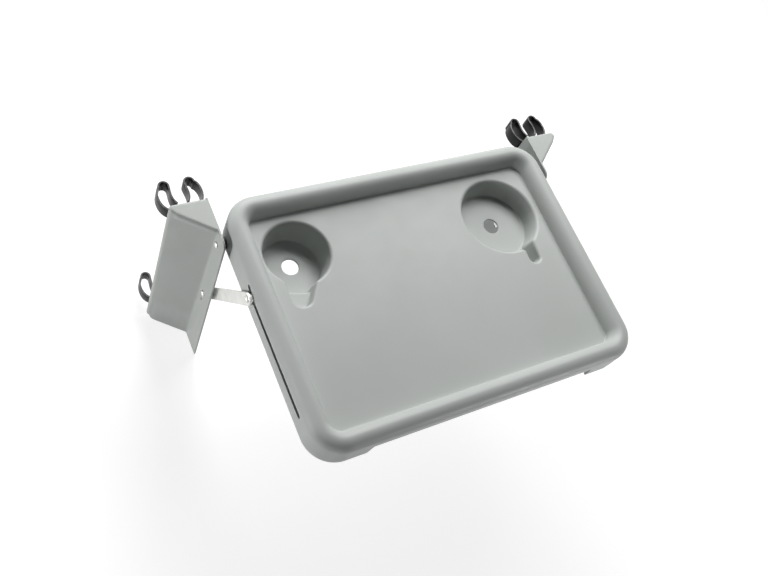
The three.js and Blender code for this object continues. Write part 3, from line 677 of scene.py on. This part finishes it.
def bracket_panel(side):
    """The angle panel: one closed section carried along panel_plan.

    The section climbs the outer face, swells by a bead under the top edge, rounds over on to the top plate,
    runs to the flange, and returns underneath and down the inner face. The lower edge is raised by a quarter
    round at the outer bend and stays raised along the back.
    """
    plan, normal, touch = panel_plan()
    count = len(plan)
    trim, bead_high, bead_run, soft, tuck, ease = 9.0, 1.3, 7.0, 3.2, 9.0, 0.5
    before = np.hypot(*(plan - touch).T)
    number = np.arange(count)
    slanted = number < FILLET_POINTS + SLANT_POINTS
    short = np.maximum(trim - before, 0.0)
    foot = BOTTOM_Z + np.where(slanted, trim - np.sqrt(trim**2 - short**2), trim)
    lead_in, lead_out = np.clip(number / FILLET_POINTS, 0.0, 1.0), np.clip(before / bead_run, 0.0, 1.0)
    bead = bead_high * lead_in * lead_out * slanted
    ones = np.ones(count)
    offset, level = [0.0 * ones], [foot + ease]
    for share in (0.25, 0.5, 0.75, 1.0):
        offset.append(0.0 * ones)
        level.append(foot + ease + share * (TOP_Z - soft - tuck - foot - ease))
    for share in np.linspace(0.0, 1.0, 9)[1:]:
        offset.append(bead * 0.5 * (1.0 - math.cos(math.pi * share)))
        level.append((TOP_Z - soft - tuck + share * tuck) * ones)
    for turn in arc(0, 90, 9)[1:]:
        offset.append(bead - soft * (1.0 - math.cos(turn)))
        level.append((TOP_Z - soft + soft * math.sin(turn)) * ones)
    outer = plan[None] + normal[None] * np.stack(offset)[..., None]
    outer[..., 0] = np.maximum(outer[..., 0], PANEL_FACE)
    rest = np.stack([np.full(count, PANEL_FACE), np.clip(outer[-1, :, 1], plan[0, 1], BACK_Y - soft)], 1)
    top = np.stack([outer[-1] + share * (rest - outer[-1]) for share in (0.1, 0.55, 1.0)])
    inner = np.maximum(plan - SHEET * normal, [PANEL_FACE, -np.inf])
    lower = np.stack([plan - (SHEET - ease) * normal, plan - ease * normal])
    lower[..., 0] = np.maximum(lower[..., 0], PANEL_FACE)
    under = np.stack([rest, 0.5 * (rest + inner), inner])
    section = np.concatenate([outer, top, under, inner[None], inner[None], lower])
    heights = np.concatenate([
        np.stack(level), np.full((3, count), TOP_Z), np.full((3, count), TOP_Z - SHEET),
        [0.5 * (TOP_Z + foot)], [foot + ease], np.stack([foot, foot])])
    points = np.concatenate([section, heights[..., None]], -1)
    rows = len(points)
    faces = grid_faces(rows, count, wrap_rows=True).tolist()
    faces += [(np.arange(rows) * count).tolist(), (np.arange(rows)[::-1] * count + count - 1).tolist()]
    piece(f"{side}_bracket_panel", sided(points, side), faces, f"{side}_bracket", PAINT,
          [f"{side}_angle_panel"], sharp=50.0)


# Clips


def bezier(controls, count):
    """Points of a cubic Bezier curve at even parameters: sum of C(3,i) (1-t)^(3-i) t^i p_i."""
    t = np.linspace(0.0, 1.0, count)[:, None]
    p = np.asarray(controls, float)
    return (1 - t) ** 3 * p[0] + 3 * (1 - t) ** 2 * t * p[1] + 3 * (1 - t) * t**2 * p[2] + t**3 * p[3]


def clip_path():
    """Centre line of one clip in plan, from the free end of one inner strand to that of the other.

    Each jaw is a hollowed inner strand, a half-round tip and a bowed outer strand. A flat base joins them.
    """
    half = STRIP / 2
    near, shoulder = CLIP_MOUTH + half, CLIP_DEPTH - half - CLIP_TIP
    lip, hollow, waist = (near - 2.6, 8.6), (near + 2.9, 15.5), (near + 0.5, 24.0)
    strand = bezier([lip, hollow, waist, (near, shoulder)], 24)
    turn = arc(180, 0, 22)
    crown = np.array([near + CLIP_TIP, shoulder]) + CLIP_TIP * np.stack([np.cos(turn), np.sin(turn)], 1)
    bow, heel = (CLIP_WIDE + 2.0, shoulder - CLIP_TIP), (CLIP_WIDE + half, half)
    outside = bezier([crown[-1], bow, heel, (CLIP_FLAT, half)], 40)
    jaw = np.concatenate([strand, crown[1:], outside[1:]])
    return np.concatenate([jaw, (jaw * [-1.0, 1.0])[::-1]])


def clip_strip(side, place):
    """A leg clip: a rounded strip section carried along clip_path, with both ends closed.

    The section is an upright rectangle with quarter-round corners. The painted edge highlight is 1 on the
    rounds, 0 on the flats.
    """
    # Painted highlight weights across the section's corner steps: light on the rounds, none on the flats.
    rubs_and_highlights = [0.0, 0.7, 1.0, 0.7, 0.0]
    steps, corner = len(rubs_and_highlights), STRIP_ROUND
    path = clip_path()
    heading = np.gradient(path, axis=0)
    heading /= np.hypot(*heading.T)[:, None]
    normal = np.stack([heading[:, 1], -heading[:, 0]], 1)
    turn = np.concatenate([arc(start, start + 90, steps) for start in (0, 90, 180, 270)])
    wide = np.repeat([1, -1, -1, 1], steps) * (STRIP / 2 - corner) + corner * np.cos(turn)
    tall = np.repeat([1, 1, -1, -1], steps) * (STRIP_TALL / 2 - corner) + corner * np.sin(turn)
    plan = path[None] + normal[None] * wide[:, None, None]
    level = np.broadcast_to(tall[:, None, None] + CLIP_HEIGHTS[place], (*plan.shape[:2], 1))
    points = np.concatenate([plan + [CLIP_X, CLIP_BASE_Y], level], -1).transpose(1, 0, 2)
    columns = len(turn)
    faces = grid_faces(len(path), columns, wrap_columns=True).tolist()
    faces += [list(range(columns)), [len(path) * columns - columns + i for i in range(columns)][::-1]]
    piece(f"{side}_{place}_clip_strip", sided(points, side), faces, f"{side}_bracket",
          STRIP_BLACK, [f"{side}_{place}_leg_clip"], painted_edge_highlight=np.tile(rubs_and_highlights, 4 * len(path)))


# Links, pins and rivets


def turned(profile, place, along="x", sides=56):
    """A body of revolution: (radius, distance) points turned about a line along x or y through a place.

    The profile closes on itself, or starts and ends on the axis. A point lies r cos a, r sin a off the line.
    """
    profile = np.asarray(profile, float)
    angle = np.linspace(0.0, 2.0 * math.pi, sides, endpoint=False)
    r, d = profile[:, :1], np.broadcast_to(profile[:, 1:], (len(profile), sides))
    across, up = r * np.cos(angle), r * np.sin(angle)
    first, second = place
    if along == "x":
        points = np.stack([d, first + across, second + up], -1)
    else:
        points = np.stack([first + across, d, second + up], -1)
    closed = profile[0, 0] > 1e-6
    return points, grid_faces(len(profile), sides, wrap_rows=closed, wrap_columns=True)


def dome(face, radius, high):
    """Profile of a domed head on a face: a short upright edge, then an elliptical crown to the axis."""
    rim = 0.25 * high
    turn = arc(0, 90, 10)
    crown = np.stack([radius * np.cos(turn), face + rim + (high - rim) * np.sin(turn)], 1)
    return [[radius, face], *crown.tolist()]


def rivet_profile(low, high):
    """Profile of a rivet: a flat head with a broken edge, a shank, and a domed head past the far face."""
    first, last = low - GAP, high + GAP
    base = first - HEAD_HIGH
    return [[0, base], [HEAD_RADIUS - HEAD_EASE, base], [HEAD_RADIUS, base + HEAD_EASE], [HEAD_RADIUS, first],
            [RIVET_RADIUS, first], [RIVET_RADIUS, last], *dome(last, HEAD_RADIUS, HEAD_HIGH)]


def washer_profile(outer, inner, low, high):
    """Profile of a ring with broken edges."""
    ease = min(0.35, (high - low) / 4)
    return [[inner, low + ease], [inner + ease, low], [outer - ease, low], [outer, low + ease],
            [outer, high - ease], [outer - ease, high], [inner + ease, high], [inner, high - ease]]


def slot_pin_profile():
    """Profile of the slot pin: inner head, shoulder through the wall, outer flange."""
    inner = HALF_WIDTH - WALL - WASHER_THICK - 3 * GAP - HEAD_HIGH
    shoulder = inner + HEAD_HIGH
    flange, face, eased = HALF_WIDTH + GAP, BAR_X - GAP, PIN_FLANGE - HEAD_EASE
    return [[0, inner], [eased, inner], [PIN_FLANGE, inner + HEAD_EASE], [PIN_FLANGE, shoulder],
            [PIN_RADIUS, shoulder], [PIN_RADIUS, flange], [PIN_FLANGE, flange],
            [PIN_FLANGE, face - HEAD_EASE], [eased, face], [0, face]]


def link_end_profile():
    """Profile of the rivet in the bar's outer end: shank in the bar and a low dome with a dimpled crown."""
    face = BAR_X + BAR_THICK + GAP
    high = FLANGE_X - face - 2 * GAP
    fall, dimple_rim, dimple_foot = 1.6, 1.3, 0.7
    turn = arc(0, 90, 9)
    crown = np.stack([HEAD_RADIUS - fall * (1 - np.cos(turn)), face + high * np.sin(turn)], 1).tolist()
    return [[0, BAR_X], [RIVET_RADIUS, BAR_X], [RIVET_RADIUS, face], [HEAD_RADIUS, face], *crown,
            [dimple_rim, face + high], [dimple_foot, face + 0.45 * high], [0, face + 0.4 * high]]


def small_pieces(side):
    """Every turned piece of one side: rivets, washers, spacers and the slot pin."""
    inside = HALF_WIDTH - WALL - GAP
    within = inside - WASHER_THICK
    bracket, link, pin = f"{side}_bracket", f"{side}_link", f"{side}_slot_pin"
    pivot, link_at, slot_at = (PIVOT_Y, PIVOT_Z), (LINK_Y, LINK_Z), (PIN_Y, SLOT_Z)
    hole, beside = RIVET_RADIUS + GAP, FLANGE_X - GAP
    pivot_spacer = washer_profile(SPACER_RADIUS, hole, HALF_WIDTH + GAP, beside)
    link_spacer = washer_profile(WASHER_RADIUS, hole, BAR_X + BAR_THICK + GAP, beside)
    across = [
        ("pivot_rivet", bracket, "zinc", rivet_profile(within, FLANGE_FACE), pivot),
        ("pivot_spacer", bracket, "black_plastic", pivot_spacer, pivot),
        ("pivot_washer", "tray", "zinc", washer_profile(WASHER_RADIUS, hole, within, inside), pivot),
        ("link_rivet", bracket, "zinc", rivet_profile(BAR_X, FLANGE_FACE), link_at),
        ("link_spacer", bracket, "zinc", link_spacer, link_at),
        ("link_end_rivet", link, "zinc", link_end_profile(), slot_at),
        ("slot_pin", pin, "zinc", slot_pin_profile(), slot_at),
        ("slot_pin_washer", pin, "zinc", washer_profile(WASHER_RADIUS, SLOT_HALF, within, inside), slot_at),
    ]
    for name, body, slot, profile, place in across:
        points, faces = turned(profile, place)
        finish, node = NYLON if slot == "black_plastic" else ZINC, f"{side}_{name}"
        piece(f"{node}_turned", sided(points, side), faces.tolist(), body, finish, [node])
    for place, z in CLIP_HEIGHTS.items():
        points, faces = turned(rivet_profile(BACK_Y - SHEET, CLIP_BASE_Y + STRIP), (CLIP_X, z), "y")
        node = f"{side}_{place}_clip_rivet"
        piece(f"{node}_turned", sided(points, side), faces.tolist(), bracket, ZINC, [node])


def link_strap(side):
    """The link: a flat bar with round ends and eased edges, in rows from one face's spine to the other's.

    Each row is the bar's outline drawn in towards its centre line, so the faces close along that line.
    """
    ends = np.array([[LINK_Y, LINK_Z], [PIN_Y, SLOT_Z]])
    heading = math.atan2(*(ends[1] - ends[0])[::-1])
    end_points = 25
    turn = np.concatenate([arc(90, 270, end_points), arc(270, 450, end_points)]) + heading
    spine = np.repeat(ends, end_points, 0)
    ring = np.stack([np.cos(turn), np.sin(turn)], 1)
    ease, thick, flat, margin = BAR_EASE, BAR_THICK, BAR_WIDE / 2 - BAR_EASE, 0.4
    soft = arc(0, 90, 5)
    reach = np.concatenate([
        [0.0, flat - margin], flat + ease * np.sin(soft), flat + ease * np.cos(soft), [flat - margin, 0.0]])
    depth = np.concatenate([
        [0.0, 0.0], ease - ease * np.cos(soft), thick - ease + ease * np.sin(soft), [thick, thick]])
    plan = spine[None] + ring[None] * reach[:, None, None]
    x = np.broadcast_to((BAR_X + depth)[:, None, None], (*plan.shape[:2], 1))
    points = np.concatenate([x, plan], -1)
    faces = grid_faces(len(reach), len(turn), wrap_columns=True).tolist()
    piece(f"{side}_link_strap", sided(points, side), faces, f"{side}_link", ZINC,
          [f"{side}_link_bar"])


tray_shell()
for hand in ("left", "right"):
    bracket_panel(hand)
    clip_strip(hand, "upper")
    clip_strip(hand, "lower")
    small_pieces(hand)
    link_strap(hand)
    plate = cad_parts[f"{hand}_flange_plate"]
    plate.data.materials.clear()
    plate.data.materials.append(PAINT)


# Floor, light and camera


def seen_rays(nodes, links, share):
    """A share on camera, glossy and transmission rays, and 0 on all others."""
    path = nodes.new("ShaderNodeLightPath")
    total = path.outputs["Is Camera Ray"]
    for name in ("Is Glossy Ray", "Is Transmission Ray"):
        add = nodes.new("ShaderNodeMath")
        add.operation = "MAXIMUM"
        links.new(total, add.inputs[0])
        links.new(path.outputs[name], add.inputs[1])
        total = add.outputs[0]
    times = nodes.new("ShaderNodeMath")
    times.operation = "MULTIPLY"
    times.inputs[1].default_value = share
    links.new(total, times.inputs[0])
    return times.outputs[0]


def studio_floor(z):
    """A wide pale floor that reads as white to the camera and in reflections, and keeps a soft shadow."""
    wide, shade, glow_share = 6.0, 0.36, 0.78
    mesh = bpy.data.meshes.new("studio_floor")
    corners = [(-wide, -wide, z), (wide, -wide, z), (wide, wide, z), (-wide, wide, z)]
    mesh.from_pydata(corners, [], [(0, 1, 2, 3)])
    made = bpy.data.materials.new("pale_floor")
    made.use_nodes = True
    nodes, links = made.node_tree.nodes, made.node_tree.links
    nodes.clear()
    out = nodes.new("ShaderNodeOutputMaterial")
    both = nodes.new("ShaderNodeAddShader")
    matt = nodes.new("ShaderNodeBsdfDiffuse")
    glow = nodes.new("ShaderNodeEmission")
    matt.inputs["Color"].default_value = (shade, shade, shade, 1.0)
    glow.inputs["Color"].default_value = (1.0, 1.0, 1.0, 1.0)
    links.new(seen_rays(nodes, links, glow_share), glow.inputs["Strength"])
    links.new(matt.outputs["BSDF"], both.inputs[0])
    links.new(glow.outputs["Emission"], both.inputs[1])
    links.new(both.outputs["Shader"], out.inputs["Surface"])
    mesh.materials.append(made)
    floor = bpy.data.objects.new("studio_floor", mesh)
    bpy.context.scene.collection.objects.link(floor)


def studio_world(ambient):
    """White to the camera and in reflections, and an even grey for the light that falls on the object."""
    world = bpy.data.worlds.new("studio_world")
    world.use_nodes = True
    nodes, links = world.node_tree.nodes, world.node_tree.links
    nodes.clear()
    out = nodes.new("ShaderNodeOutputWorld")
    mix = nodes.new("ShaderNodeMixShader")
    dim, bright = nodes.new("ShaderNodeBackground"), nodes.new("ShaderNodeBackground")
    dim.inputs["Color"].default_value = (ambient, ambient, ambient, 1.0)
    bright.inputs["Color"].default_value = (1.0, 1.0, 1.0, 1.0)
    links.new(seen_rays(nodes, links, 1.0), mix.inputs["Fac"])
    links.new(dim.outputs["Background"], mix.inputs[1])
    links.new(bright.outputs["Background"], mix.inputs[2])
    links.new(mix.outputs["Shader"], out.inputs["Surface"])
    bpy.context.scene.world = world


def soft_lamp(name, at, toward, size, watts):
    """A square area lamp at a place in metres, facing a point."""
    data = bpy.data.lights.new(name, "AREA")
    data.size = size
    data.energy = watts
    lamp = bpy.data.objects.new(name, data)
    at, toward = np.array(at), np.array(toward)
    back = (at - toward) / np.linalg.norm(at - toward)
    right = np.cross([0.0, 0.0, 1.0], back)
    right /= np.linalg.norm(right)
    up = np.cross(back, right)
    turn = np.eye(4)
    turn[:3, 0], turn[:3, 1], turn[:3, 2], turn[:3, 3] = right, up, back, at
    lamp.matrix_world = Matrix(turn.tolist())
    bpy.context.scene.collection.objects.link(lamp)


def photo_camera():
    """The camera: its axes and place solved from the tray's and brackets' edges, and set as one matrix."""
    axes = np.array([
        [0.863994, -0.391302, 0.316854],
        [-0.228447, -0.865453, -0.445873],
        [0.448693, 0.312848, -0.837139]])
    eye = -axes.T @ np.array([50.2, 6.26, 1018.97])
    focal_pixels, width_pixels, sensor = 882.9, 768.0, 36.0
    data = bpy.data.cameras.new("photo_camera")
    data.sensor_width = sensor
    data.lens = focal_pixels / width_pixels * sensor
    camera = bpy.data.objects.new("photo_camera", data)
    turn = np.eye(4)
    turn[:3, 0], turn[:3, 1], turn[:3, 2] = axes[0], -axes[1], -axes[2]
    turn[:3, 3] = placed(eye)[0]
    camera.matrix_world = Matrix(turn.tolist())
    bpy.context.scene.collection.objects.link(camera)
    bpy.context.scene.camera = camera


studio_floor(-0.137)
studio_world(0.0)
TRAY_MIDDLE = (0.0, -0.15, 0.1)
soft_lamp("rear_softbox", (0.12, 1.204, 0.734), TRAY_MIDDLE, 0.6, 11.3)
soft_lamp("high_rear_softbox", (0.2, 0.87, 1.17), TRAY_MIDDLE, 0.6, 11.3)
soft_lamp("right_rear_softbox", (0.682, 0.532, 1.249), TRAY_MIDDLE, 0.6, 9.2)
soft_lamp("left_low_fill", (-1.494, -0.15, 0.13), (0.0, -0.15, 0.08), 0.46, 10.8)
soft_lamp("right_front_low_fill", (0.746, -1.442, 0.055), (0.0, -0.15, 0.055), 0.38, 8.2)
photo_camera()
bpy.context.scene.view_settings.view_transform = "Standard"
